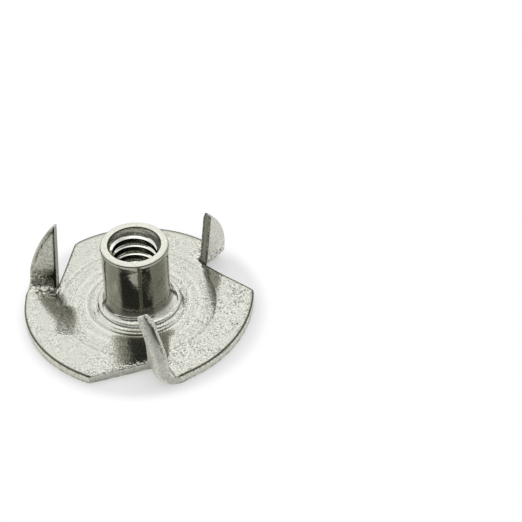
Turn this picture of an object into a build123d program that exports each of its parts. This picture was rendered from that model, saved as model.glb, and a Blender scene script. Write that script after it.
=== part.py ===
"""Three-prong tee nut: a round sheet flange, a drawn and tapped barrel, and three prongs folded up from the rim.

The outer face of the flange lies on z = 0 and faces down.
The barrel points up along +Z, and the first prong stands over the -Y side.
All lengths are in millimetres and all angles in degrees.
"""

import math
import os

from build123d import *

# Flange: the round blank
flange_diameter = 22.2
sheet_thickness = 1.0
rim_roll = 0.17  # rounding that blanking leaves round the upper face

# Slits and prongs
prong_count = 3
first_prong_angle = -90.0
slit_distance = 8.45  # from the axis of the barrel to the straight slit
slit_corner_radius = 0.8  # where the slit runs out at the rim
bend_radius = 0.45  # inside the fold
bend_angle = 83.0  # springback keeps the fold short of square
prong_height = 7.8  # from the underside to the tip
tip_radius = 0.18

# Barrel and collar
overall_height = 8.5
barrel_diameter = 6.35
barrel_root_radius = 0.5
rim_lip = 0.07  # how far the open end is upset past the barrel's wall
rim_band = 0.7  # height over which the open end widens
rim_edge = 0.12
collar_width = 0.9  # from the barrel's wall to the collar's edge
collar_height = 0.6
collar_edge = 0.28  # rounding of the collar's upper edge

# Bore, as wide as the crests of the shallow 10-24 thread that is cut in it
bore_diameter = 4.28
mouth_step = 0.36  # from the bore's wall out to the plain mouth, cut at 45 degrees
mouth_depth = 0.5  # plain wall above the thread
bell_radius = 0.635  # drawn entry on the underside

# One overrun serves every cut
overrun = 1.0

# Places that follow from the sizes
flange_radius = flange_diameter / 2
bore_radius = bore_diameter / 2
mouth_radius = bore_radius + mouth_step
mouth_floor = overall_height - mouth_depth
barrel_radius = barrel_diameter / 2
rim_radius = barrel_radius + rim_lip
collar_radius = barrel_radius + collar_width
collar_top = sheet_thickness + collar_height
prong_angles = [first_prong_angle + 360 * index / prong_count for index in range(prong_count)]


def section_corner(radius, height):
    """The corner of the open sketch that lies nearest to a radius and a height."""
    return vertices().sort_by_distance((radius, height))[0]


def turned_body():
    """The flange, collar and barrel: one section turned round the axis."""
    with BuildPart() as body:
        with BuildSketch(Plane.XZ):
            with BuildLine():
                Polyline(
                    (bore_radius, mouth_floor - mouth_step),
                    (bore_radius, 0),
                    (flange_radius, 0),
                    (flange_radius, sheet_thickness),
                    (collar_radius, sheet_thickness),
                    (collar_radius, collar_top),
                    (barrel_radius, collar_top),
                    (barrel_radius, overall_height - rim_band),
                    (rim_radius, overall_height),
                    (mouth_radius, overall_height),
                    (mouth_radius, mouth_floor),
                    close=True,
                )
            make_face()
            fillet(section_corner(bore_radius, 0), bell_radius)
            fillet(section_corner(flange_radius, sheet_thickness), rim_roll)
            fillet(section_corner(barrel_radius, collar_top), barrel_root_radius)
            fillet(section_corner(collar_radius, collar_top), collar_edge)
            chamfer(section_corner(rim_radius, overall_height), rim_edge)
        revolve(axis=Axis.Z)
    return body.part


def tab_cut():
    """The tab between slit and rim on the +X side, which the fold takes out of the flange.

    The slit runs straight from its foot on the X axis, and rounds off the corner where it meets the rim.
    """
    far = flange_radius + overrun
    corner_x = slit_distance - slit_corner_radius
    corner_y = -math.sqrt((flange_radius - slit_corner_radius) ** 2 - corner_x**2)
    outward = Vector(corner_x, corner_y).normalized()
    slit_end = (slit_distance, corner_y)
    rim_end = outward * flange_radius
    past_rim = outward * far
    with BuildPart() as cut:
        with BuildSketch(Plane.XY.offset(-overrun)):
            with BuildLine():
                Line((slit_distance, 0), slit_end)
                TangentArc(slit_end, rim_end, tangent=(0, -1))
                Polyline(rim_end, past_rim, (far, past_rim.Y), (far, 0), (slit_distance, 0))
            make_face()
        extrude(amount=sheet_thickness + 2 * overrun)
    return cut.part


def folded_root():
    """The sheet's section at the slit's foot, carried round the fold on the +X side."""
    fold_axis = Axis((0, 0, sheet_thickness + bend_radius), (-1, 0, 0))
    with BuildPart() as root:
        with BuildSketch(Plane.XZ):
            with BuildLine():
                Polyline(
                    (slit_distance, 0),
                    (flange_radius, 0),
                    (flange_radius, sheet_thickness),
                    (slit_distance, sheet_thickness),
                    close=True,
                )
            make_face()
            fillet(section_corner(flange_radius, sheet_thickness), rim_roll)
        revolve(axis=fold_axis, revolution_arc=bend_angle)
    return root.part


def blade():
    """The flat of the prong on the +X side: a straight slit edge, and the old rim as a tangent arc up to the tip."""
    turn = math.radians(bend_angle)
    fold_top = sheet_thickness + bend_radius * (1 - math.cos(turn))
    blade_length = (prong_height - fold_top) / math.sin(turn)
    inner_face = Plane(
        origin=(0, -bend_radius * math.sin(turn), fold_top),
        x_dir=(1, 0, 0),
        z_dir=(0, -math.sin(turn), -math.cos(turn)),
    )
    through = Axis(inner_face.origin, inner_face.z_dir)
    with BuildPart() as flat:
        with BuildSketch(inner_face):
            with BuildLine():
                Line((slit_distance, 0), (flange_radius, 0))
                TangentArc((flange_radius, 0), (slit_distance, blade_length), tangent=(0, 1))
                Line((slit_distance, blade_length), (slit_distance, 0))
            make_face()
        extrude(amount=sheet_thickness)
        tip = edges().filter_by(through).sort_by(Axis.Z)[-1]
        fillet(tip, tip_radius)
        upper_face = faces().filter_by(GeomType.PLANE).sort_by(through)[0]
        rim_arc = upper_face.edges().filter_by(GeomType.CIRCLE).sort_by(SortBy.LENGTH)[-1]
        fillet(rim_arc, rim_roll)
    return flat.part


def tee_nut():
    """The turned body with each tab cut away at its slit and folded up as a prong."""
    tab = tab_cut()
    fold = folded_root()
    flat = blade()
    with BuildPart() as nut:
        add(turned_body())
        for angle in prong_angles:
            add(tab.rotate(Axis.Z, angle), mode=Mode.SUBTRACT)
            add(fold.rotate(Axis.Z, angle))
            add(flat.rotate(Axis.Z, angle))
    return nut.part


os.makedirs("parts", exist_ok=True)
export_step(tee_nut(), "parts/tee_nut.step")
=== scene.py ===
# %% [markdown]
# # A three-prong tee nut
#
# A tee nut is pressed from one blank of sheet steel. The middle of the blank
# is drawn up into a barrel, which is then threaded, and three tabs are slit at
# the rim and folded up into prongs that bite into wood. This lesson works out
# the whole skin of that part with numpy, as a few grids that share their
# border points, and welds them into one closed mesh. A subdivided box model
# could get near the shape, but a pressed part is made of exact circles, folds
# and a helix, and formulas give those directly.

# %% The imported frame
import math

import bmesh
import bpy
import numpy as np
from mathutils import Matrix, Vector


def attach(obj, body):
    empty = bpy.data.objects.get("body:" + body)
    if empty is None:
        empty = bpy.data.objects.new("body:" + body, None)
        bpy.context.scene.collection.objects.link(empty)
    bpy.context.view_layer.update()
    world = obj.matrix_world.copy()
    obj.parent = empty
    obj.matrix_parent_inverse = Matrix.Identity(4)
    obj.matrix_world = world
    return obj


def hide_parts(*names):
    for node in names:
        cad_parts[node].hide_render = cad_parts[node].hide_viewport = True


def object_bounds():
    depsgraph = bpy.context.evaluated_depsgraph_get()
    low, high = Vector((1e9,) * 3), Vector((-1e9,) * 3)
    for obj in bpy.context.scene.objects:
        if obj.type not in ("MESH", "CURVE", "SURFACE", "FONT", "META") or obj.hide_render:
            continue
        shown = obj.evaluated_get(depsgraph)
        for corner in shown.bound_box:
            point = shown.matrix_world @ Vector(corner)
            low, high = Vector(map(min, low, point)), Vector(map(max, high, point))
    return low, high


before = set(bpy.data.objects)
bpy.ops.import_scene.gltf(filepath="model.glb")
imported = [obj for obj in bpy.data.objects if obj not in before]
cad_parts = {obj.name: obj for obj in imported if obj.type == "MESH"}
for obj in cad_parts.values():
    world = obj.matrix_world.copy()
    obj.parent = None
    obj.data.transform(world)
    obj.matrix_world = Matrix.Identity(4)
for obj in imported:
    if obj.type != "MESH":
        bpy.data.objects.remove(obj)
cad_low, cad_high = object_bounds()
MM = 0.001
print("CAD box in mm:", [round(v / MM, 2) for v in (*cad_low, *cad_high)])

# %% [markdown]
# ## Sizes
#
# The blank is a disc of sheet with three straight slits. Its rim and the nut's
# height are measured on the CAD part, and the rest is written in millimetres,
# as on a toolmaker's drawing. Only the finished mesh is turned into metres.
# The first prong stands over the -Y side, and the others follow a third of a
# turn apart.

# %% Sizes of the blank
FLANGE_R = round(-cad_low[1] / MM, 3)   # the rim reaches -Y at the first prong's fold
HEIGHT = round(cad_high[2] / MM, 3)
SHEET = 1.0                             # thickness of the sheet
SLIT = 8.45                             # how far each slit passes from the axis
PRONGS = 3
SECTOR = 2.0 * math.pi / PRONGS
FIRST_PRONG = -0.5 * math.pi
prong_angles = FIRST_PRONG + SECTOR * np.arange(PRONGS)
print("blank of", 2.0 * FLANGE_R, "mm,", HEIGHT, "mm high when pressed")

# %% [markdown]
# ## Small tools for curves
#
# A few formulas come back again and again: a soft step, a rounded hump, a curve
# of four control values, and the drop of a rounded edge. They take whole arrays,
# so one call shapes every point of a grid.

# %% Curve helpers
def soft_step(start, end, x):
    """0 before start, 1 after end, and 3s^2 - 2s^3 between them."""
    s = np.clip((x - start) / (end - start), 0.0, 1.0)
    return s * s * (3.0 - 2.0 * s)


def hump(x, wide):
    """A hump of height 1 round x = 0: exp(-(x / wide)^2)."""
    return np.exp(-(x / wide)**2)


def four_point(values, w):
    """Cubic with control values a, b, c, d:
    a(1-w)^3 + 3b w(1-w)^2 + 3c w^2(1-w) + d w^3."""
    a, b, c, d = values
    v = 1.0 - w
    return a * v**3 + 3.0 * b * w * v**2 + 3.0 * c * w**2 * v + d * w**3


def edge_drop(inset, roll):
    """How far a rounded edge has fallen at a distance inset from the edge:
    roll - sqrt(roll^2 - (roll - inset)^2), and 0 further in than roll."""
    reach = np.clip(roll - inset, 0.0, None)
    return roll - np.sqrt(np.clip(roll**2 - reach**2, 0.0, None))


def polar(radius, angle, z):
    """Points (radius cos angle, radius sin angle, z) of whole arrays."""
    radius, angle, z = np.broadcast_arrays(radius, angle, z)
    return np.stack([radius * np.cos(angle), radius * np.sin(angle), z], -1)


print("a 0.35 mm roll drops", round(float(edge_drop(0.1, 0.35)), 3), "mm at 0.1 mm")

# %% [markdown]
# ## The skin
#
# Every grid of points goes into one list together with three marks for the material: how rough the
# metal is near a fold, how dull it is where it was cut or scuffed, and how much brighter or darker
# its colour is than the flange's, which carries painted shade and painted highlights as well as
# plain differences of tone.
# Neighbouring grids repeat the same border points, so a weld at the end closes
# the skin.

# %% The list of grids
# the tone mark carries painted shade and painted highlights as well as plain tone
MARKS = ("fold", "cut", "tone")
LAND_ROWS = 5               # points across the flat of a cut edge


class Skin:
    """Collects grids of points, and joins each grid's neighbours into quads."""

    def __init__(self):
        self.points = []
        self.quads = []
        self.marks = []
        self.count = 0

    def add(self, grid, fold=0.0, cut=0.0, tone=0.0):
        """Quad (i, j) takes grid points (i, j), (i+1, j), (i+1, j+1), (i, j+1)."""
        rows, columns = grid.shape[:2]
        index = self.count + np.arange(rows * columns).reshape(rows, columns)
        corners = [index[:-1, :-1], index[1:, :-1], index[1:, 1:], index[:-1, 1:]]
        self.quads.append(np.stack(corners, -1).reshape(-1, 4))
        self.points.append(grid.reshape(-1, 3))
        marks = [np.broadcast_to(mark, (rows, columns)) for mark in (fold, cut, tone)]
        self.marks.append(np.stack(marks, -1).reshape(-1, len(MARKS)))
        self.count += rows * columns

    def add_land(self, upper, lower, tone):
        """The flat of a cut edge: straight lines from upper points to lower ones."""
        s = np.linspace(0.0, 1.0, LAND_ROWS)[:, None, None]
        self.add((1.0 - s) * upper + s * lower, cut=1.0, tone=tone)


skin = Skin()
print("an empty skin with the marks", MARKS)

# %% [markdown]
# ## The stations of the grids
#
# A lobe is the part of the flange from one prong's fold round to the next
# slit. Its grid has rings of constant radius and spokes that share out the
# angle. Outside the slit's foot the angle left between fold and slit gets
# smaller, so the spokes lean over with it. Stations crowd together near the
# cut edges, the ridges and the pad's edge, where the shape turns fastest.

# %% Rings and spokes
EDGE_STEPS = np.array([0.0, 0.006, 0.022, 0.05, 0.09, 0.15, 0.22, 0.30, 0.42])
SLIT_SPAN = math.sqrt(FLANGE_R**2 - SLIT**2)    # length of a slit
EDGE_SHARE = SLIT_SPAN / 72.0       # part of a lobe's angle for a step of 1 mm
COLLAR_R = 4.1
COLLAR_FOOT = 0.1                   # hollow at the foot of the collar
HUB_R = COLLAR_R + COLLAR_FOOT
RIDGE_END = 5.3                     # close rings reach out to here
PAD_R = 7.7                         # edge of the pad that held the blank down
BELL_R = 2.775                      # edge of the hole in the underside

outer_rings = np.concatenate([
    SLIT + EDGE_STEPS[:6],
    np.linspace(SLIT + 0.3, FLANGE_R - 0.6, 9),
    FLANGE_R - EDGE_STEPS[::-1],
])
top_rings = np.concatenate([
    np.linspace(HUB_R, RIDGE_END, 34),
    np.linspace(RIDGE_END + 0.15, PAD_R - 0.25, 10),
    np.linspace(PAD_R - 0.16, PAD_R + 0.16, 9),
    np.linspace(PAD_R + 0.24, SLIT, 6)[:-1],
    outer_rings,
])
under_rings = np.concatenate([np.linspace(BELL_R, SLIT, 14)[:-1], outer_rings])
spokes = np.concatenate([
    [0.0, 0.006],
    np.linspace(0.014, 0.949, 96),
    1.0 - EDGE_SHARE * EDGE_STEPS[::-1],
])
print(len(top_rings), "rings and", len(spokes), "spokes in a lobe")

# %% [markdown]
# ## The plan of a lobe
#
# No pressed blank stays a perfect circle: the folds drag its rim in and out by
# a few tenths of a millimetre, differently in each lobe. The slit runs out at
# the rim in a rounded corner, and the fold at the lobe's other end is tight at
# the slit and wide at the rim, so the lobe begins later there. A lattice could
# bend a plain disc this way, but its border would no longer meet the prongs
# point for point.

# %% Rounded corner and widening fold
CORNER_ROUND = 0.8
BEND = 0.45                     # inside radius of a fold at the slit
BEND_RIM = (1.30, 0.75, 1.15)   # and at the rim, for each prong
TINY = 1e-9                     # keeps a division away from zero


def turned(x, y, angle):
    """The plan position (x, y) turned about the axis by an angle."""
    c = math.cos(angle)
    s = math.sin(angle)
    return c * x - s * y, s * x + c * y


def round_corner(x, y):
    """Rounds the corner of slit line x = SLIT and rim circle. Points in the
    corner move along lines through the round's centre by round / distance."""
    cx = SLIT - CORNER_ROUND
    cy = -math.sqrt((FLANGE_R - CORNER_ROUND)**2 - cx**2)
    dx = x - cx
    dy = y - cy
    far = np.maximum(np.hypot(dx, dy), TINY)
    ux = dx / far
    uy = dy / far
    inside = (uy < 0.0) & (ux * cy - uy * cx < 0.0) & (ux > 0.0)
    along = ux * cx + uy * cy
    to_rim = -along + np.sqrt(along**2 - cx**2 - cy**2 + FLANGE_R**2)
    to_slit = CORNER_ROUND / np.maximum(ux, TINY)
    scale = np.where(inside, CORNER_ROUND / np.minimum(to_rim, to_slit), 1.0)
    return cx + dx * scale, cy + dy * scale


def bend_more(k, rings):
    """How much wider fold k is at a ring than at the slit: it grows evenly."""
    share = np.clip((rings - SLIT) / (FLANGE_R - SLIT), 0.0, 1.0)
    return (BEND_RIM[k] - BEND) * share


print("folds are wider at the rim by", [round(wide - BEND, 2) for wide in BEND_RIM], "mm")

# %% Plan of a lobe
RIM_WANDER = ((0.06, -0.25, -0.33, 0.45),   # four control values from fold to slit
              (0.08, 0.06, 0.30, 0.18),
              (0.13, 0.10, -0.20, -0.05))
FOLD_SPOKES = 0.13          # part of a lobe that makes room for its fold


def lobe_plan(k, rings):
    """Plan of lobe k. Angle = fold angle + spoke x (sector - arccos(SLIT / r)),
    moved off the fold's wide end, with the insets from rim and slit and the run
    along the slit."""
    slit_angle = np.arccos(np.clip(SLIT / np.maximum(rings, SLIT), -1.0, 1.0))
    angle = prong_angles[k] + spokes * (SECTOR - slit_angle)[:, None]
    radius = np.broadcast_to(rings[:, None], angle.shape)
    next_prong = prong_angles[k] + SECTOR
    x = radius * np.cos(angle - next_prong)
    y = radius * np.sin(angle - next_prong)
    rim_inset = FLANGE_R - radius
    slit_inset = SLIT - x
    run = -y
    x, y = turned(*round_corner(x, y), next_prong)
    grow = four_point(RIM_WANDER[k], spokes) * soft_step(SLIT, FLANGE_R, radius)
    stretch = 1.0 + grow / radius
    aside = bend_more(k, rings)[:, None] * (1.0 - soft_step(0.0, FOLD_SPOKES, spokes))
    move_x, move_y = turned(0.0, aside, prong_angles[k])
    return x * stretch + move_x, y * stretch + move_y, rim_inset, slit_inset, run


wander = four_point(np.transpose(RIM_WANDER)[:, :, None], spokes)
print("rim wanders from", round(wander.min(), 2), "to", round(wander.max(), 2), "mm")

# %% [markdown]
# ## Rolled edges
#
# A punch drags the sheet down before it shears, which leaves the rim's upper
# edge rounded and the slit's edges nearly sharp. The slit's roll dies out at
# its foot, where the cut ends. A Bevel modifier gives every edge one width, and
# a formula lets the roll fade.

# %% Rolls of rim and slit
RIM_ROLL_TOP = 0.17
RIM_ROLL_UNDER = 0.08
SLIT_ROLL_TOP = 0.10
SLIT_ROLL_UNDER = 0.08
ROLL_RUN = 0.9              # length over which a roll grows from the slit's foot


def slit_side(slit_inset, run, roll):
    """Drop of the slit's edge, its roll growing from 0 at the slit's foot."""
    grown = roll * soft_step(0.0, ROLL_RUN, run)
    return np.where(run > 0.0, edge_drop(slit_inset, grown), 0.0)


print("rim rolled by", RIM_ROLL_TOP, "mm, slits by", SLIT_ROLL_TOP, "mm")

# %% [markdown]
# ## Relief of the press
#
# Drawing the barrel pulls the middle of the blank up into a shallow dome that
# ends at the pad's edge, and turns it up more steeply beside the collar. Two
# low ridges stand round the collar's front, the collar sits a little off the
# axis, and each fold lifts the flange beside it. These are tenths of a
# millimetre or less, but polished metal shows them at once, so they are in the
# mesh and not left to a bump.

# %% Dome, hub, ridges and lifts
DOME = 0.03                 # rise of the middle of the blank
HUB = 0.17                  # rise beside the collar
HUB_WIDE = 0.50
RIDGES = ((4.55, 0.025), (4.95, 0.015))     # radius and height
RIDGE_WIDE = 0.11
RIDGE_FRONT = (0.1, 0.6)    # they grow between these cosines to the front
FOLD_LIFT = 0.03
LIFT_WIDE = 0.7
LIFT_START = (0.0, 0.25)    # distances from the fold over which its lift begins
LIFT_ALONG = (SLIT - 0.6, SLIT + 0.8)       # and radii along the fold
FRONT_TURN = math.radians(-19.07)           # the nut's front, turned from -Y
FRONT = (round(math.sin(FRONT_TURN), 3), -round(math.cos(FRONT_TURN), 3))


def facing(x, y):
    """Cosine of the angle between a plan direction and the nut's front."""
    return (FRONT[0] * x + FRONT[1] * y) / np.hypot(x, y)


def relief(x, y):
    """Height of the press marks: a dome (PAD_R^2 - r^2) inside the pad, a hub
    exp(-(r - HUB_R) / wide), a hump for each ridge round the front, and one on
    the lobe beside each fold, which starts from 0 at the fold's own border."""
    radius = np.hypot(x, y)
    height = DOME * np.clip((PAD_R**2 - radius**2) / (PAD_R**2 - HUB_R**2), 0.0, 1.0)
    height = height + HUB * np.exp(-(radius - HUB_R) / HUB_WIDE)
    front = soft_step(*RIDGE_FRONT, facing(x, y))
    for ridge, high in RIDGES:
        height = height + high * front * hump(radius - ridge, RIDGE_WIDE)
    for k, angle in enumerate(prong_angles):
        along, aside = turned(x, y, -angle)
        aside = aside - bend_more(k, along)
        near = hump(np.clip(aside, 0.0, None), LIFT_WIDE) * soft_step(*LIFT_START, aside)
        height = height + FOLD_LIFT * near * soft_step(*LIFT_ALONG, along)
    return height


print("relief beside the collar:", round(float(relief(HUB_R, 0.0)), 2), "mm")

# %% Collar off the axis
BARREL_R = 3.25
COLLAR_SHIFT = (0.14, -0.05, 0.0)
SHIFT_GROWS = (BARREL_R + 0.05, 3.6)        # radii over which the shift begins
SHIFT_ENDS = (4.4, 5.6)                     # and over which it dies out


def off_centre(grid):
    """Shifts the collar sideways: COLLAR_SHIFT times a share that is 1 at the
    collar and falls in soft steps to 0 on the barrel and out on the flange."""
    radius = np.hypot(grid[..., 0], grid[..., 1])
    share = soft_step(*SHIFT_GROWS, radius) * (1.0 - soft_step(*SHIFT_ENDS, radius))
    return grid + share[..., None] * np.array(COLLAR_SHIFT)


print("collar shifted by", round(math.hypot(*COLLAR_SHIFT), 2), "mm")

# %% [markdown]
# ## Marks on the flange
#
# A sheared edge gets a line of painted shade along its top corner, the metal of a fold is rough for
# about a millimetre beside it, and a slit tears the skin next to it. These are changes of the
# colour and roughness and not of the shape. Paint on an image could show them, but marks on the
# points stay sharp at every distance and need no unwrapping.

# %% Painted shade of edges, and roughness of folds
EDGE_SHADE = -0.92
EDGE_INSET = 0.08           # the painted shade line runs this far in from the edge
EDGE_WIDE = 0.1
BACK_WIDER = 0.12           # and is this much wider along the back of the rim
BACK_COSINES = (0.2, 0.8)
SLIT_SHARES = (1.0, 1.0, 0.2)       # how dark the painted shade along each lobe's slit is
FOLD_SHARES = (0.25, 1.0, 1.0)      # how rough each fold is
FOLD_MARK_WIDE = 1.1
FOLD_MARK_BACK = -0.4       # the mark ends this far behind the fold line
FOLD_MARK_ALONG = (SLIT - 1.0, SLIT + 0.2)


def painted_edge_shade(inset, wide=EDGE_WIDE):
    """Painted shade line along a sheared edge: EDGE_SHADE x hump(inset - EDGE_INSET)."""
    return EDGE_SHADE * hump(inset - EDGE_INSET, wide)


def fold_mark(x, y):
    """A fold's share on its line, fading as hump(aside) onto the lobe beside it,
    and 0 inside the slit."""
    mark = np.zeros_like(x)
    for angle, rough in zip(prong_angles, FOLD_SHARES):
        along, aside = turned(x, y, -angle)
        close = rough * hump(aside, FOLD_MARK_WIDE) * (aside > FOLD_MARK_BACK)
        mark = np.maximum(mark, close * soft_step(*FOLD_MARK_ALONG, along))
    return mark


print("tone of a sheared edge", round(float(painted_edge_shade(0.0)), 2), "at its corner")

# %% [markdown]
# ## The lobes
#
# With plan, edges, relief and marks at hand, a lobe is a sum: the sheet less its
# rolled edges, plus the relief. Its underside is flat, because the nut was pressed
# against a flat die, and straight lands between the two close the rim and the slit.

# %% Top and underside of a lobe
SLIT_DROOP = 0.06           # the shear draws the slit's edge down
DROOP_WIDE = 0.4
DROOP_RUN = (0.2, 1.2)      # run from the slit's foot over which it begins
TORN = 0.7                  # roughness beside a slit
TORN_WIDE = 0.6
TORN_RUN = (0.0, 0.8)
SLIT_LINE_RUN = 0.3         # the slit's painted shade line begins this far from its foot
UNDER_ROUGH = 0.6           # share of a fold's roughness on the underside
PAD_EDGE_SHADES = (-0.4, 0.0, 0.0)        # a line of painted shade along the pad's edge, on one lobe
PAD_LINE_WIDE = 0.07
PAD_LINE_FROM = (0.25, 0.45)        # spokes between which the line begins
PAD_LINE_TO = (0.75, 0.85)          # and ends


def lobe_top(k):
    """Top of lobe k: SHEET - rolled edges - droop of the slit + relief."""
    x, y, rim, slit, run = lobe_plan(k, top_rings)
    drop = np.maximum(edge_drop(rim, RIM_ROLL_TOP), slit_side(slit, run, SLIT_ROLL_TOP))
    droop = SLIT_DROOP * hump(slit, DROOP_WIDE) * soft_step(*DROOP_RUN, run)
    grid = off_centre(np.stack([x, y, SHEET - drop - droop + relief(x, y)], -1))

    torn = TORN * hump(slit, TORN_WIDE) * soft_step(*TORN_RUN, run)
    # painted shade: a line along the pad's edge, and lines along the rim and the slit
    pad_shade_line = PAD_EDGE_SHADES[k] * hump(top_rings[:, None] - PAD_R, PAD_LINE_WIDE)
    pad_shade_line = pad_shade_line * soft_step(*PAD_LINE_FROM, spokes) * (1.0 - soft_step(*PAD_LINE_TO, spokes))
    behind = soft_step(*BACK_COSINES, -facing(x, y))
    rim_shade_line = painted_edge_shade(rim, EDGE_WIDE + BACK_WIDER * behind)
    slit_shade_line = SLIT_SHARES[k] * painted_edge_shade(slit) * (run > SLIT_LINE_RUN)
    skin.add(grid, fold=np.maximum(fold_mark(x, y), torn),
             tone=np.minimum(rim_shade_line, slit_shade_line) + pad_shade_line)
    return grid


def lobe_under(k):
    """Underside of lobe k: flat, with its edges rolled upwards."""
    x, y, rim, slit, run = lobe_plan(k, under_rings)
    rise = np.maximum(edge_drop(rim, RIM_ROLL_UNDER), slit_side(slit, run, SLIT_ROLL_UNDER))
    grid = np.stack([x, y, rise], -1)
    skin.add(grid, fold=UNDER_ROUGH * fold_mark(x, y))
    return grid


print("a slit's edge droops by", SLIT_DROOP, "mm")

# %% The lobes and their cut edges
RIM_LAND_LIGHT_AND_SHADE = np.array([0.7, 0.35, 0.3, 0.2, -0.7])[:, None]      # painted highlight along the top, painted shade at the foot
# painted highlight at the top of the slit's land, painted shade towards its foot
SLIT_LAND_LIGHT_AND_SHADE = np.array([0.2, 0.05, -0.05, -0.15, -0.4])[:, None]
beyond_foot = np.s_[-len(outer_rings):, -1]     # a lobe's last spoke, along the slit

for k in range(PRONGS):
    top = lobe_top(k)
    under = lobe_under(k)
    skin.add_land(top[-1], under[-1], RIM_LAND_LIGHT_AND_SHADE)
    skin.add_land(top[beyond_foot], under[beyond_foot], SLIT_LAND_LIGHT_AND_SHADE)
print(PRONGS, "lobes,", skin.count, "points so far")

# %% [markdown]
# ## The tabs in the flat
#
# A prong is the tab outside a slit, folded up along the line from the slit's
# foot to the rim. In the flat, its inner edge is the slit, and its outer edge is
# the old rim, which curves in to a small tip. Rows that run up the tab and
# columns from slit to rim cover it. The real prongs differ, so each has its own
# fold, height and tip.

# %% Outline of a tab
FOLD_ANGLES = np.radians([88.0, 83.7, 80.5])    # springback keeps them short of square
TIP_HEIGHTS = (7.3, 7.75, 7.75)
TIP_ROUNDS = (0.16, 0.28, 0.14)
TIP_LEAST = 2.5e-4          # keeps the last row open, so that the tip has a flat
PAST_TIP = 0.25             # the outer edge's arc would meet the slit this far on
SLIT_GAP = 0.05             # width that the shear takes off the slit's edge
GAP_RUN = 1.0               # and the run over which it does
bend_rows = np.linspace(0.0, 1.0, 13)
blade_rows = 1.0 - (1.0 - np.linspace(0.0, 1.0, 40)[1:])**1.7


class Tab:
    """Tab k in the flat. Rows turn through the fold and then rise along the
    blade, whose outer edge is the arc x = rim - arc + sqrt(arc^2 - rise^2) with
    a half round at the tip. Columns share out the width as the lobe's rings do."""

    def __init__(self, k):
        end = FOLD_ANGLES[k]
        up = TIP_HEIGHTS[k] - SHEET - BEND * (1.0 - math.cos(end))
        self.length = up / math.sin(end)
        turn = end * np.concatenate([bend_rows, np.ones_like(blade_rows)])
        rise = self.length * np.concatenate([np.zeros_like(bend_rows), blade_rows])
        self.turn = turn[:, None]
        self.rise = rise[:, None]
        self.run = self.rise + self.turn * (BEND + 0.5 * SHEET)
        self.grown = soft_step(0.0, ROLL_RUN, self.run)

        bulge = RIM_WANDER[k][0]
        rim = FLANGE_R + bulge
        width = rim - SLIT
        arc = (width**2 + (self.length + PAST_TIP)**2) / (2.0 * width)
        chord = np.sqrt(arc**2 - self.rise**2)
        left = SLIT + SLIT_GAP * soft_step(0.0, GAP_RUN, self.run)
        right = rim - arc + chord
        tip = TIP_ROUNDS[k]
        into_tip = np.clip(self.rise - (self.length - tip), 0.0, tip)
        end_round = 2.0 * np.sqrt(np.clip(tip**2 - into_tip**2, TIP_LEAST, None))
        right = np.where(into_tip > 0.0, np.minimum(right, left + end_round), right)

        across = outer_rings - SLIT + bulge * soft_step(SLIT, FLANGE_R, outer_rings)
        self.share = across / across[-1]
        self.x = left + self.share * (right - left)
        self.inner = self.x - left
        on_blade = (right - self.x) * chord / arc
        self.outer = np.where(self.rise > 0.0, on_blade, FLANGE_R - outer_rings)


tabs = [Tab(k) for k in range(PRONGS)]
print("blades of", [round(tab.length, 2) for tab in tabs], "mm above their folds")

# %% [markdown]
# ## The prongs
#
# The fold turns each point of a tab about the bend's axis, and the rest of the
# blade stands straight. The front prong was upset and pushed aside by the tool,
# so it is thicker and leans. A Simple Deform modifier could bend a flat tab too,
# but it can't hold a tight bend at the slit and a wide one at the rim.

# %% Faces of a prong
LEANS = (0.50, 0.0, 0.0)            # sideways lean of the upper part
LEAN_FROM = 0.3                     # share of the blade that stays straight
THICKENS = (0.42, 0.0, 0.0)         # the front prong is upset
THICKEN_RUN = 1.0
BEVELS = (0.36, 0.15, 0.10)         # thinning towards the tip
BEVEL_LONG = 0.9
PRONG_ROLL_TOP = 0.28               # the old rim, pulled rounder by the fold
PRONG_ROLLS_UNDER = (0.32, 0.08, 0.08)
FOLD_CLOSES = 3.0                   # rise over which the wide end of a fold dies out


def face_levels(k, tab):
    """Heights of the tab's faces in the sheet: its thickness less bevel and
    rolled edges for the inside, and the rolled edges alone for the outside."""
    rim_roll = RIM_ROLL_TOP + (PRONG_ROLL_TOP - RIM_ROLL_TOP) * tab.grown
    under_roll = RIM_ROLL_UNDER + (PRONG_ROLLS_UNDER[k] - RIM_ROLL_UNDER) * tab.grown
    thick = SHEET + THICKENS[k] * soft_step(0.0, THICKEN_RUN, tab.run)
    bevel = BEVELS[k] * soft_step(tab.length - BEVEL_LONG, tab.length, tab.rise)
    inside = thick - bevel - np.maximum(edge_drop(tab.outer, rim_roll),
                                        edge_drop(tab.inner, SLIT_ROLL_TOP * tab.grown))
    outside = np.maximum(edge_drop(tab.outer, under_roll),
                         edge_drop(tab.inner, SLIT_ROLL_UNDER * tab.grown))
    return inside, outside


def folded(k, tab, level):
    """One face of tab k after folding. Its distance from the bend's axis is
    BEND + more + SHEET - level, more being the fold's extra width:
    y = more - distance sin turn - rise cos turn - lean, and
    z = height of the axis - distance cos turn + rise sin turn."""
    more = bend_more(k, outer_rings) * (1.0 - soft_step(0.0, FOLD_CLOSES, tab.rise))
    distance = BEND + more + SHEET - level
    lean = LEANS[k] * soft_step(LEAN_FROM * tab.length, tab.length, tab.rise)
    y = more - distance * np.sin(tab.turn) - tab.rise * np.cos(tab.turn) - lean
    z = SHEET + BEND + more - distance * np.cos(tab.turn) + tab.rise * np.sin(tab.turn)
    x, y = turned(tab.x, y, prong_angles[k])
    return np.stack([x, y, z], -1)


print("the front prong is", SHEET + THICKENS[0], "mm thick")
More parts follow.
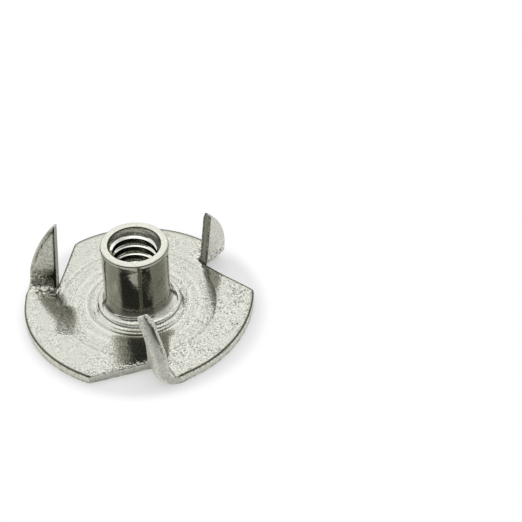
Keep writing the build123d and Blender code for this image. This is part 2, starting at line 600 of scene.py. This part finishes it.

# %% [markdown]
# ## Marks on the prongs
#
# Each prong gets its own skin: the front one is scuffed dull all over and has a painted highlight
# along its old rim, the left one has painted shade at its stretched root, each face is painted a
# little lighter or darker, and thin lines of painted shade follow the sheared edges of all but the
# front one. As on the flange, marks on the points carry this to the steel.

# %% Marks of the prongs' faces: painted light and shade, and roughness
# each prong's face is painted a little lighter or darker, as painted light and shade
FACE_PAINTED_LIGHT = (0.05, -0.05, -0.24)
# painted shade at the stretched root of the left prong
ROOT_SHADES = (0.0, 0.0, -0.75)
# a painted highlight along the front prong's old rim
BURR_HIGHLIGHTS = (0.25, 0.0, 0.0)
BURR_WIDE = 0.2
DULLS = (1.0, 0.3, 0.3)             # how far each is scuffed
DULL_STARTS = (-1.0, 0.8, 0.8)      # and how far up the scuffing starts
DULL_GROWS = 1.6
FACE_ROUGHS = (0.3, 0.3, 0.5)       # roughness of each face above its fold
FOLD_ROUGH_HIGH = 1.3               # rise over which the fold's roughness fades
ROOT_RISE = 0.8                     # middle of the painted shade at the root
ROOT_HIGH = 0.9
ROOT_AT_SLIT = 1.1                  # it is darkest at the slit's side
ROOT_FADE = 0.9                     # and fades by this towards the old rim
LINE_SHARES = (0.0, 0.9, 0.8)       # how dark the painted shade lines along the edges are
RIM_LINE_INSETS = (0.0, 0.0, 0.25)  # and how far in the old rim's line runs
SLIT_LINE_WIDE = 0.08
RIM_LINE_WIDE = 0.06
UPPER_RISE = (1.5, 3.5)             # the upper part begins between these


def upper_part(tab):
    """0 at the root of a prong and 1 on its upper part."""
    return soft_step(*UPPER_RISE, tab.rise)


def add_faces(k, tab):
    """Adds both faces of prong k with their marks: roughness hump(rise) at the fold, a hump of
    painted shade at the root, a painted highlight hump(outer) along the old rim, and lines of
    painted shade along the edges."""
    inside, outside = [folded(k, tab, level) for level in face_levels(k, tab)]
    rough = FOLD_SHARES[k] * np.maximum(hump(tab.rise, FOLD_ROUGH_HIGH), FACE_ROUGHS[k])
    dull = DULLS[k] * soft_step(DULL_STARTS[k], DULL_STARTS[k] + DULL_GROWS, tab.rise) * tab.grown
    # painted shade at the root, darkest on the slit's side
    root = ROOT_SHADES[k] * hump(tab.rise - ROOT_RISE, ROOT_HIGH)
    root = root * (ROOT_AT_SLIT - ROOT_FADE * tab.share)
    rim_highlight = BURR_HIGHLIGHTS[k] * hump(tab.outer, BURR_WIDE)
    # painted light of the face, painted shade at the root and a painted highlight along the old rim
    tone = (FACE_PAINTED_LIGHT[k] + root + rim_highlight) * tab.grown
    # lines of painted shade along the slit's edge and the old rim
    shade_lines = (painted_edge_shade(tab.inner, SLIT_LINE_WIDE) * tab.grown
             + painted_edge_shade(tab.outer - RIM_LINE_INSETS[k], RIM_LINE_WIDE) * upper_part(tab))
    skin.add(inside, fold=rough, cut=dull, tone=tone + LINE_SHARES[k] * shade_lines)
    skin.add(outside, fold=rough, cut=dull, tone=tone)
    return inside, outside


print("scuffing of the prongs:", DULLS)

# %% The prongs and their cut edges
PLAIN = (0.0,) * LAND_ROWS
# Painted light and shade across the prongs' cut lands, from the inner face to the outer one, and on
# their tips
RIM_EDGE_LIGHT_AND_SHADE = np.array([(-0.8, 0.0, 0.0, 0.05, 0.4), PLAIN, PLAIN])[:, :, None]
TIP_SHADE_LINES = np.array([(-0.1, -0.8, -0.2, 0.0, 0.0), PLAIN, PLAIN])[:, :, None]
TIP_LINE_FROM = 3.0         # the tip's painted shade lines begin this far below it
TIP_LINE_FULL = 1.2         # and are full from here on
SLIT_CORNER_SHADES = np.array([-0.8, -0.35, -0.2, -0.35, -0.8])[:, None]   # painted shade at the corners
SLIT_EDGE_SHARES = (1.0, 1.2, 0.2)
TIP_PAINTED_LIGHT = (0.5, -0.5, 0.0)

for k, tab in enumerate(tabs):
    inside, outside = add_faces(k, tab)
    near_tip = soft_step(tab.length - TIP_LINE_FROM, tab.length - TIP_LINE_FULL, tab.rise)
    rim_land_light = RIM_EDGE_LIGHT_AND_SHADE[k] * upper_part(tab).T + TIP_SHADE_LINES[k] * near_tip.T
    skin.add_land(inside[:, 0], outside[:, 0], SLIT_EDGE_SHARES[k] * SLIT_CORNER_SHADES)
    skin.add_land(inside[:, -1], outside[:, -1], rim_land_light)
    skin.add_land(inside[-1], outside[-1], TIP_PAINTED_LIGHT[k])
print(PRONGS, "prongs,", skin.count, "points so far")

# %% [markdown]
# ## The barrel
#
# The barrel is drawn up out of the blank and is round, so it is one profile
# carried about the axis: the collar, a hollow root, the straight wall, a lip
# that the tool upset, and the flat ring round the mouth. A Screw modifier would
# turn a profile too, but these points have to meet the spokes of the lobes.

# %% Profile of the barrel
COLLAR_TOP = SHEET + 0.44
COLLAR_ROUND = 0.13
ROOT_ROUND = 0.75
LIP_R = BARREL_R + 0.05
LIP_LOW = HEIGHT - 0.7      # where the wall begins to widen into the lip
LIP_ROUND = 0.20
MOUTH_R = 2.56
MOUTH_ROUND = 0.05
MOUTH_LOW = HEIGHT - 0.12   # where the grid of the thread takes over
WALL_TAPER = 0.08
RUN_OUT = 0.5               # depth of the plain wall above the thread
HUB_TOP = SHEET + DOME + HUB


def quarter(radius, z, size, start, end, count):
    """Arc of a circle about (radius, z) from start to end degrees."""
    a = np.radians(np.linspace(start, end, count))
    return np.stack([radius + size * np.cos(a), z + size * np.sin(a)], -1)


def mouth_wall(z):
    """Plain wall above the thread: it narrows by WALL_TAPER a millimetre down to
    RUN_OUT, and by 1 mm a millimetre more below, where the tap ran out."""
    depth = HEIGHT - MOUTH_ROUND - z
    return MOUTH_R - WALL_TAPER * depth - np.clip(depth - RUN_OUT, 0.0, None)


profile = np.concatenate([
    quarter(HUB_R, HUB_TOP + COLLAR_FOOT, COLLAR_FOOT, 270, 180, 5),
    quarter(COLLAR_R - COLLAR_ROUND, COLLAR_TOP - COLLAR_ROUND, COLLAR_ROUND, 0, 90, 9),
    quarter(BARREL_R + ROOT_ROUND, COLLAR_TOP + ROOT_ROUND, ROOT_ROUND, 270, 180, 15),
    [[BARREL_R, z] for z in np.linspace(COLLAR_TOP + 1.1, LIP_LOW - 0.5, 6)],
    [[BARREL_R, LIP_LOW - 0.2], [BARREL_R + 0.02, LIP_LOW], [LIP_R, LIP_LOW + 0.3]],
    quarter(LIP_R - LIP_ROUND, HEIGHT - LIP_ROUND, LIP_ROUND, 0, 90, 6),
    quarter(MOUTH_R + MOUTH_ROUND, HEIGHT - MOUTH_ROUND, MOUTH_ROUND, 90, 180, 5),
    [[mouth_wall(MOUTH_LOW), MOUTH_LOW]],
])
print("barrel profile of", len(profile), "points")

# %% [markdown]
# ## Tones and painted shade of the barrel
#
# The barrel's wall is darker than the flange, and the flat ring at its top brighter, between a line
# of painted shade at the lip and painted shade at the mouth's edge.

# %% The turned barrel
WALL_TONE = -0.42
RING_TONE = 0.22
LIP_SHADE = -0.65
MOUTH_EDGE_SHADE = -0.7
LIP_LINE = HEIGHT - 0.09    # height of the painted shade line round the lip
LIP_LINE_WIDE = 0.06
LIP_BAND = 0.3              # the line keeps to the outer part of the ring
MOUTH_EDGE = 0.04
WALL_FROM = (COLLAR_TOP + 0.2, COLLAR_TOP + 0.7)    # heights where the dark begins

all_angles = (prong_angles[:, None] + SECTOR * spokes).reshape(-1)
profile_r = profile[:, :1]
profile_z = profile[:, 1:]
on_ring = soft_step(HEIGHT - LIP_ROUND, HEIGHT, profile_z)
on_wall = soft_step(*WALL_FROM, profile_z) * (1.0 - on_ring)
lip_shade_line = hump(profile_z - LIP_LINE, LIP_LINE_WIDE) * (profile_r > BARREL_R - LIP_BAND)
mouth_edge = profile_r < MOUTH_R + MOUTH_EDGE
# painted shade at the lip and the mouth's edge, with the wall's and ring's tones
skin.add(off_centre(polar(profile_r, all_angles, profile_z)),
         tone=(WALL_TONE * on_wall + RING_TONE * on_ring
               + LIP_SHADE * lip_shade_line + MOUTH_EDGE_SHADE * mouth_edge))
print("barrel,", skin.count, "points so far")

# %% [markdown]
# ## The thread
#
# The tap leaves a right-hand screw thread: its section climbs one pitch in
# each turn. Rows that climb with the angle follow the crests exactly, so the
# thread needs few rows, and where they would leave the hole at either end they
# are held at the mouth's or the bell's edge.

# %% Section of the thread
PITCH = 25.4 / 24.0         # a coarse screw of about 4.8 mm
CREST_R = 2.14              # the crests stand in to this radius
ROOT_R = 2.44
CORNER_EASE = 0.02
THREAD_START = -0.073       # height of a crest's lower edge over the first prong
CREST_ROWS = (0.0, 0.03, 0.2, 0.4, 0.52, 0.55, 0.56)
GROOVE_ROWS = (0.605, 0.66, 0.715, 0.745, 0.805, 0.835, 0.92)
THREAD_ROWS = np.array(CREST_ROWS + GROOVE_ROWS)    # in parts of the pitch


def thread_radius(climb):
    """Section over one pitch, as a shallow tap cuts it: crest flat 0.55 of the
    pitch, flank, narrow root flat, flank, with the corners eased."""
    crest_ease = CREST_R + CORNER_EASE
    root_ease = ROOT_R - CORNER_EASE
    stations = [0.0, 0.03, 0.52, 0.55, 0.715, 0.745, 0.805, 0.835, 1.0]
    radii = [crest_ease, CREST_R, CREST_R, crest_ease,
             root_ease, ROOT_R, ROOT_R, root_ease, crest_ease]
    return np.interp(np.mod(climb, 1.0), stations, radii)


print("pitch", round(PITCH, 3), "mm, thread", round(ROOT_R - CREST_R, 2), "mm deep")

# %% Thread, mouth and bell
BELL_ROUND = 0.85           # round of the drawn entry on the underside
bell_start = BELL_ROUND - math.sqrt(BELL_ROUND**2 - (BELL_R - ROOT_R)**2)


def bell_radius(z):
    """The bell's quarter round: BELL_R - sqrt(round^2 - (round - z)^2)."""
    reach = np.clip(BELL_ROUND - z, 0.0, None)
    return BELL_R - np.sqrt(np.clip(BELL_ROUND**2 - reach**2, 0.0, None))


turns = np.arange(math.ceil((MOUTH_LOW - bell_start) / PITCH) + 2) - 1
row_z = THREAD_START + PITCH * (turns[:, None] + THREAD_ROWS).reshape(-1)
lead = PITCH * (all_angles - all_angles[0]) / (2.0 * math.pi)
z = np.clip(row_z[:, None] + lead, bell_start, MOUTH_LOW)
radius = thread_radius((z - lead - THREAD_START) / PITCH)
radius = np.maximum(radius, np.where(z < BELL_ROUND, bell_radius(z), 0.0))
radius = np.maximum(radius, mouth_wall(z))
bell_z = np.linspace(bell_start, 0.0, 5)[:, None]
print("thread of", len(turns) - 2, "turns; bell starts at", round(bell_start, 3), "mm")

# %% [markdown]
# ## Painted light and shade of the bore
#
# The crests are darkened with painted shade, and the flanks are brightened with a painted
# highlight. The plain mouth is dull and darkened with painted shade, apart from a band on its far
# side, which gets painted light where that wall faces the opening.

# %% Painted light and shade of the bore
CREST_SHADE = -0.88
FLANK_HIGHLIGHT = 0.75
MOUTH_SHADE = -0.75
FAR_WALL_LIGHT = 1.45           # how much brighter the painted light on the far wall is
FAR_WALL_COSINES = (0.4, 0.85)
FAR_LIGHT_FROM = (0.12, 0.2)    # depths between which the band begins
FAR_LIGHT_TO = (0.48, 0.6)      # and ends
CREST_SHADE_REACH = 0.03           # the crests' painted shade reaches this far down the flanks
CREST_FADE = 0.01
SAME = 1e-6

mouth = (mouth_wall(z) >= radius - SAME).astype(float)
crest = np.clip((CREST_R + CREST_SHADE_REACH - radius) / CREST_FADE, 0.0, 1.0) * (1.0 - mouth)
far_side = soft_step(*FAR_WALL_COSINES, -facing(np.cos(all_angles), np.sin(all_angles)))
far_light_band = soft_step(*FAR_LIGHT_FROM, HEIGHT - z) * (1.0 - soft_step(*FAR_LIGHT_TO, HEIGHT - z))
# painted shade on crests and mouth, a painted highlight on the flanks, painted light on the far
# wall
tone = (CREST_SHADE * crest + FLANK_HIGHLIGHT * (1.0 - crest) * (1.0 - mouth)
        + (MOUTH_SHADE + FAR_WALL_LIGHT * far_side * far_light_band) * mouth)
skin.add(polar(radius, all_angles, z), cut=mouth, tone=tone)
skin.add(polar(bell_radius(bell_z), all_angles, bell_z))
print("bore and bell,", skin.count, "points in all")

# %% [markdown]
# ## One closed mesh
#
# The grids become one mesh in metres. Merging the doubled border points closes
# it, and since it is then one closed shell, recalculating the normals turns
# every face outwards. Edges sharper than the angle below stay crisp.

# %% The mesh and its marks
mesh = bpy.data.meshes.new("tee_nut_steel")
mesh.from_pydata(np.concatenate(skin.points) * MM, [], np.concatenate(skin.quads))
for name, values in zip(MARKS, np.concatenate(skin.marks).T):
    layer = mesh.attributes.new(name, "FLOAT", "POINT")
    layer.data.foreach_set("value", np.ascontiguousarray(values, np.float32))
print(len(mesh.vertices), "points before the weld")

# %% The welded piece
WELD = 4e-4 * MM
SLIVER = 1e-4 * MM
SHARP = math.radians(38.0)

shell = bmesh.new()
shell.from_mesh(mesh)
bmesh.ops.remove_doubles(shell, verts=shell.verts, dist=WELD)
bmesh.ops.dissolve_degenerate(shell, edges=shell.edges, dist=SLIVER)
bmesh.ops.recalc_face_normals(shell, faces=shell.faces)
open_edges = sum(1 for edge in shell.edges if len(edge.link_faces) != 2)
shell.to_mesh(mesh)
shell.free()
mesh.shade_smooth()
mesh.set_sharp_from_angle(angle=SHARP)

nut = bpy.data.objects.new("tee_nut_steel", mesh)
bpy.context.scene.collection.objects.link(nut)
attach(nut, "root")
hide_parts("tee_nut")
mesh.calc_loop_triangles()
print(len(mesh.loop_triangles), "triangles,", open_edges, "open edges")

# %% [markdown]
# ## Shader arithmetic
#
# Materials are easier to read as sums than as wires, so one small class wraps
# a socket: adding or multiplying two of them adds a Math node, and any other
# node comes from its one method. Two short functions name the nodes that come
# back most, the soft step of Map Range and Vector Math.

# %% The wire class
class Wire:
    """A socket of a shader tree that can be used in Python expressions."""

    def __init__(self, tree, socket=None):
        self.tree = tree
        self.socket = socket

    def node(self, kind, settings=None, inputs=None, out=0):
        """Adds a node of a kind: its settings first, then a number, colour,
        vector or wire for each input. Gives the wire of one of its outputs."""
        made = self.tree.nodes.new(kind)
        for name, value in (settings or {}).items():
            setattr(made, name, value)
        for name, value in (inputs or {}).items():
            if isinstance(value, Wire):
                self.tree.links.new(value.socket, made.inputs[name])
            else:
                made.inputs[name].default_value = value
        return Wire(self.tree, made.outputs[out] if len(made.outputs) else None)

    def math(self, operation, *values):
        """A Math node on numbers and wires."""
        return self.node("ShaderNodeMath", {"operation": operation}, dict(enumerate(values)))

    def __add__(self, other):
        return self.math("ADD", self, other)

    def __sub__(self, other):
        return self.math("SUBTRACT", self, other)

    def __rsub__(self, other):
        return self.math("SUBTRACT", other, self)

    def __mul__(self, other):
        return self.math("MULTIPLY", self, other)

    __radd__ = __add__
    __rmul__ = __mul__


print("wires can be added, subtracted and multiplied")

# %% Soft steps, vectors and new materials
def fade(value, start, end, low=0.0, high=1.0):
    """Soft step of a wire from low at start to high at end."""
    return value.node("ShaderNodeMapRange", {"interpolation_type": "SMOOTHSTEP"}, {
        "Value": value, "From Min": start, "From Max": end, "To Min": low, "To Max": high})


def vector(wire, operation, *values, out="Vector", **named):
    """A Vector Math node on vectors and wires, in the tree of a wire."""
    inputs = {**dict(enumerate(values)), **named}
    return wire.node("ShaderNodeVectorMath", {"operation": operation}, inputs, out)


def new_material(name):
    """An empty node material and the wire that starts its expressions."""
    material = bpy.data.materials.new(name)
    material.use_nodes = True
    material.node_tree.nodes.clear()
    return material, Wire(material.node_tree)


print("materials so far:", len(bpy.data.materials))

# %% [markdown]
# ## Bright steel: where a point lies
#
# The part is pressed from stainless sheet and tumbled bright. Its finish depends
# on where the press touched it, so the material first works out, in millimetres
# of Object coordinates, how far a point is from the axis, whether it is under
# the pad or on the drawn metal, and how far it is to the right and to the back
# as seen from the front.

# %% Places on the nut
SIDEWAYS = (math.cos(FRONT_TURN), math.sin(FRONT_TURN), 0.0)
BACKWARD = (-math.sin(FRONT_TURN), math.cos(FRONT_TURN), 0.0)
PAD_SHIFT = -0.2            # the pad lay a little to the left of the axis
PAD_CENTRE = (PAD_SHIFT * SIDEWAYS[0], PAD_SHIFT * SIDEWAYS[1], 0.0)
PAD_EDGE = PAD_R - PAD_SHIFT
PAD_SOFT = 0.05

steel, w = new_material("bright_steel")
place = vector(w, "SCALE", w.node("ShaderNodeTexCoord", out="Object"), Scale=1.0 / MM)
fold, cut, tone = [w.node("ShaderNodeAttribute", {"attribute_name": name}, out="Fac")
                   for name in MARKS]
plan = vector(w, "MULTIPLY", place, (1, 1, 0))
radius_mm = vector(w, "LENGTH", plan, out="Value")
pad_mm = vector(w, "DISTANCE", plan, PAD_CENTRE, out="Value")
to_right = vector(w, "DOT_PRODUCT", place, SIDEWAYS, out="Value")
to_back = vector(w, "DOT_PRODUCT", place, BACKWARD, out="Value")
drawn = fade(radius_mm, 4.3, 3.6)
pad = fade(pad_mm, PAD_EDGE + PAD_SOFT, PAD_EDGE - PAD_SOFT) - drawn
outside = 1.0 - pad - drawn
print("pad's centre", [round(c, 2) for c in PAD_CENTRE], "mm")

# %% [markdown]
# ## Bright steel: grain and specks
#
# Tumbling leaves a fine grain of light and dark specks all over, uneven from
# place to place and calmer to the left and at the back. The pad left faint rings
# where the drawn metal slid under it, and the folds an orange peel where it was
# stretched. Noise of several sizes stands for all of it, so no picture has to be
# wrapped round the shape.

# %% Grain
GRAIN_WEIGHT = 3.3          # how much each noise changes the shade
SPECK_WEIGHT = 1.3
RING_WEIGHT = 1.8
CRACKLE_WEIGHT = 4.5


def noise(scale, detail, where=place):
    """Noise of so many features a millimetre, about 0.5 in the middle."""
    return where.node("ShaderNodeTexNoise", {}, {
        "Vector": where, "Scale": scale, "Detail": detail, "Roughness": 0.55})


grain = noise(8.5, 3.0)
speck = noise(4.6, 2.0)
crackle = noise(3.4, 1.0)
peel = noise(2.4, 2.0)
mottle = noise(0.7, 2.0)
ring = noise(2.2, 2.0, w.node("ShaderNodeCombineXYZ", {}, {"X": radius_mm}))

uneven = fade(mottle, 0.36, 0.66, low=0.3, high=1.25)
calm = fade(to_right, -6.0, 5.0, low=0.78, high=1.35) * fade(to_back, 2.0, 6.0, low=1.0, high=0.6)
specks = GRAIN_WEIGHT * grain + SPECK_WEIGHT * speck - 0.5 * (GRAIN_WEIGHT + SPECK_WEIGHT)
specks = specks * uneven * calm * (1.0 + 1.2 * fold - 0.6 * drawn - 0.5 * cut)
specks = specks + RING_WEIGHT * pad * (ring - 0.5)
specks = specks + CRACKLE_WEIGHT * fold * fold * (crackle - 0.5)
print("grain of", len(steel.node_tree.nodes), "nodes so far")

# %% [markdown]
# ## Bright steel: slight tilts of the flange
#
# The press does not leave the flange quite flat. A tilt of a few degrees can't
# be seen as a shape, but it makes a patch of bright metal mirror the dark
# instead of the light, and such patches are what makes it look like metal. The
# tilts turn the normal, and only where the surface is level.

# %% Patches of the flange
# Each fade gives the millimetres between which a patch begins or ends.
right_end = fade(to_right, 6.5, 7.5)
left_end = fade(to_right, -7.75, -8.05)
inner = pad + outside * (1.0 - right_end - left_end)
right_wide = fade(to_right, 2.5, 6.5)
left_wide = fade(to_right, -2.5, -6.5)
near = fade(to_back, -1.0, -5.0)
dent = fade(to_back, -0.5, -0.9) * fade(to_back, -4.9, -4.6) * left_wide
lift = fade(to_right, 3.0, 3.9) * fade(to_right, 7.0, 5.5) * fade(to_back, -4.6, -5.4)
print("patches, with", len(steel.node_tree.nodes), "nodes so far")

# %% Tilted normal
RIGHT_END_TILT = 0.05       # tilts in radians, to the right or to the back
LEFT_END_TILT = 0.07
LIFT_TILT = 0.15
INNER_TILT = 0.03
RIGHT_WIDE_TILT = 0.035
LEFT_END_BACK = 0.03
DENT_SIDE = 0.10
DENT_BACK = 0.03
NEAR_SIDE_LESS = 0.05       # the near part of the dent tilts less to the side
NEAR_BACK_MORE = 0.06       # and more to the back

plain = w.node("ShaderNodeNewGeometry", out="Normal")
level = w.node("ShaderNodeSeparateXYZ", {}, {0: plain}, out="Z")
level = w.node("ShaderNodeMapRange", {}, {"Value": level, "From Min": 0.95, "From Max": 0.99})
dent_side = (DENT_SIDE - NEAR_SIDE_LESS * near) * dent
dent_back = (DENT_BACK + NEAR_BACK_MORE * near) * dent
inner_side = INNER_TILT + RIGHT_WIDE_TILT * right_wide + dent_side
tilt_side = (RIGHT_END_TILT * outside * right_end - LEFT_END_TILT * outside * left_end
             + LIFT_TILT * lift - inner_side * inner) * level
tilt_back = (LEFT_END_BACK * outside * left_end + dent_back * inner) * level
tilt = vector(w, "ADD", vector(w, "SCALE", SIDEWAYS, Scale=tilt_side),
              vector(w, "SCALE", BACKWARD, Scale=tilt_back))
tilted = vector(w, "NORMALIZE", vector(w, "ADD", plain, tilt))
print("tilts, with", len(steel.node_tree.nodes), "nodes so far")

# %% [markdown]
# ## Bright steel: colour, gloss and bump
#
# Stainless steel is a slightly warm grey. Specks and the marks, with their painted shade and
# painted highlights, change its shade, cut edges and scuffs are dull and less metallic, and one
# patch on the left is painted paler and made a little rougher, as painted light over the dark that
# the flange mirrors there. The bump is fine grain on the flange, peel on the folds, and a crackle
# on the drawn wall, which makes its mirrored stripe wander.

# %% Colour and gloss
STEEL_RED = 0.585
STEEL_GREEN = 0.582
STEEL_BLUE = 0.520
DARKEST_TONE = 0.04
SPECK_LOW = 0.3
SPECK_HIGH = 1.36

# the tone mark brings its painted shade and painted highlights, broken up by the grain
tone_and_painted_light = w.math("MAXIMUM", 1.0 + tone * (0.75 + 0.5 * grain), DARKEST_TONE)
shade = w.math("MINIMUM", w.math("MAXIMUM", 1.08 + specks, SPECK_LOW), SPECK_HIGH) * tone_and_painted_light
# painted light: a patch on the left painted paler where the flange mirrors dark
painted_light_patch = dent * near * fade(to_right, -7.5, -7.0) * fade(to_right, -5.3, -5.8)
shade = shade * (1.0 + 0.6 * painted_light_patch)
warmer = 1.0 - 0.14 * w.math("ABSOLUTE", tone)
bare = w.node("ShaderNodeCombineColor", {}, {
    "Red": STEEL_RED * shade, "Green": STEEL_GREEN * shade,
    "Blue": STEEL_BLUE * shade * warmer}, out="Color")
gloss = 0.05 + 0.04 * grain + 0.03 * pad + 0.1 * fold + 0.42 * cut + 0.07 * painted_light_patch
print("colour", (STEEL_RED, STEEL_GREEN, STEEL_BLUE))

# %% Bump and shader
BUMP_DEPTH = 0.02 * MM
BUMP_STRENGTH = 0.5

wall = fade(radius_mm, 2.95, 3.1)
height = (0.5 * grain + speck) * (1.0 - 0.75 * drawn) + fold * peel * (7.0 + 8.0 * fold)
height = height + 1.1 * drawn * wall * crackle
bump = w.node("ShaderNodeBump", {}, {
    "Strength": BUMP_STRENGTH, "Distance": BUMP_DEPTH, "Height": height, "Normal": tilted},
    out="Normal")
surface = w.node("ShaderNodeBsdfPrincipled", {}, {
    "Base Color": bare, "Metallic": 1.0 - 0.7 * cut, "Roughness": gloss, "Normal": bump})
w.node("ShaderNodeOutputMaterial", {}, {"Surface": surface})
mesh.materials.append(steel)
print("steel with", len(steel.node_tree.nodes), "nodes")

# %% [markdown]
# ## The table
#
# The nut stands on a white table. The eye and mirroring metal see the table as
# plain white, and other light sees a matt white board. Under and close round
# the nut the board shows more, so that the shadow stays on it.

# %% Floor
FLOOR_HALF = 0.6
SHADOW_CENTRE = (0.4 * MM, -0.2 * MM, 0.0)
SHADOW_IN = 11.2 * MM       # the board shows most inside this radius
SHADOW_OUT = 12.8 * MM      # and the plain white is full outside this one
WHITE_INSIDE = 0.4          # share of the plain white that is left inside
BOARD = (0.95, 0.95, 0.95, 1.0)

floor_mesh = bpy.data.meshes.new("floor")
corners = [(-FLOOR_HALF, -FLOOR_HALF, 0), (FLOOR_HALF, -FLOOR_HALF, 0),
           (FLOOR_HALF, FLOOR_HALF, 0), (-FLOOR_HALF, FLOOR_HALF, 0)]
floor_mesh.from_pydata(corners, [], [(0, 1, 2, 3)])
floor = bpy.data.objects.new("floor", floor_mesh)
bpy.context.scene.collection.objects.link(floor)

table, w = new_material("white_table")
matt = w.node("ShaderNodeBsdfDiffuse", {}, {"Color": BOARD})
white = w.node("ShaderNodeEmission", {}, {"Color": (1, 1, 1, 1), "Strength": 1.0})
spot = w.node("ShaderNodeTexCoord", out="Object")
off_nut = vector(w, "DISTANCE", spot, SHADOW_CENTRE, out="Value")
off_nut = fade(off_nut, SHADOW_IN, SHADOW_OUT, low=WHITE_INSIDE)
eye = w.node("ShaderNodeLightPath", out="Is Camera Ray")
mirror = w.node("ShaderNodeLightPath", out="Is Glossy Ray")
seen = w.math("MAXIMUM", eye, mirror) * off_nut
mixed = w.node("ShaderNodeMixShader", {}, {"Fac": seen, 1: matt, 2: white})
w.node("ShaderNodeOutputMaterial", {}, {"Surface": mixed})
floor_mesh.materials.append(table)
print("table", 2.0 * FLOOR_HALF, "m wide")

# %% [markdown]
# ## The light tent
#
# Small bright parts are pictured in a white tent, which lights them from all
# round. The tent is the world here: white, brightest overhead and at the back,
# and dark in front, where it is open. That opening is what draws the dark stripe
# down the barrel. Lamps would light the nut as well, but metal would mirror them
# as spots.

# %% World
OPENING_WIDE = math.radians(56.0)
OPENING_SOFT = 0.12
OPENING_DARK = 0.92         # share of the light that the opening lacks
BACK_LIGHT = 1.10
FRONT_LESS = 0.30           # the front half gives this much less
TOP_MORE = 0.15             # and the top this much more
RIGHT_LESS = 0.25           # share that the right side lacks
TENT_COLOUR = (0.99, 1.0, 1.01, 1.0)
FORWARD = tuple(-c for c in BACKWARD)

world = bpy.data.worlds.new("tent")
bpy.context.scene.world = world
world.use_nodes = True
world.node_tree.nodes.clear()
w = Wire(world.node_tree)
aim = w.node("ShaderNodeTexCoord", out="Generated")
flat_aim = vector(w, "NORMALIZE", vector(w, "MULTIPLY", aim, (1, 1, 0)))
toward = vector(w, "DOT_PRODUCT", flat_aim, FORWARD, out="Value")
side_on = vector(w, "DOT_PRODUCT", flat_aim, SIDEWAYS, out="Value")
up = w.node("ShaderNodeSeparateXYZ", {}, {0: aim}, out="Z")

over = fade(up, 0.80, 0.97)
to_front = fade(toward, -0.75, 0.0)
bright = BACK_LIGHT - FRONT_LESS * to_front * (1.0 - over) + TOP_MORE * over
opening = fade(toward, math.cos(OPENING_WIDE + OPENING_SOFT), math.cos(OPENING_WIDE - OPENING_SOFT))
opening = opening * fade(up, 0.86, 0.74) * fade(up, 0.47, 0.58, low=0.45)
horizon = fade(up, 0.03, 0.34, low=0.2)
right_side = fade(side_on, 0.6, 0.95) * (1.0 - over)
bright = bright * (1.0 - OPENING_DARK * opening) * horizon * (1.0 - RIGHT_LESS * right_side)
eye = w.node("ShaderNodeLightPath", out="Is Camera Ray")
bright = bright * (1.0 - eye) + eye
tent = w.node("ShaderNodeBackground", {}, {"Color": TENT_COLOUR, "Strength": bright})
w.node("ShaderNodeOutputWorld", {}, {"Surface": tent})
print("tent with", len(world.node_tree.nodes), "nodes")

# %% [markdown]
# ## The camera
#
# The photograph was taken with a long lens from about 150 mm off and 42 degrees
# up, a little to the left of the first prong. A long lens keeps the circles of
# flange and barrel nearly parallel.

# %% Camera
PICTURE_PIXELS = 522.0
FOCAL_PIXELS = 1515.0       # focal length in pixels of the picture
SENSOR = 36.0
PITCH_DOWN = math.radians(41.66)
EYE_PLACE = np.array([-24.19, -107.06, 103.39])

camera_data = bpy.data.cameras.new("camera")
camera_data.sensor_width = SENSOR
camera_data.lens = FOCAL_PIXELS / PICTURE_PIXELS * SENSOR
camera_data.clip_start = 0.005
camera = bpy.data.objects.new("camera", camera_data)
camera.location = EYE_PLACE * MM
camera.rotation_euler = (0.5 * math.pi - PITCH_DOWN, 0.0, FRONT_TURN)
bpy.context.scene.collection.objects.link(camera)
bpy.context.scene.camera = camera
bpy.context.scene.view_settings.view_transform = "Standard"
print("lens of", round(camera_data.lens, 1), "mm")
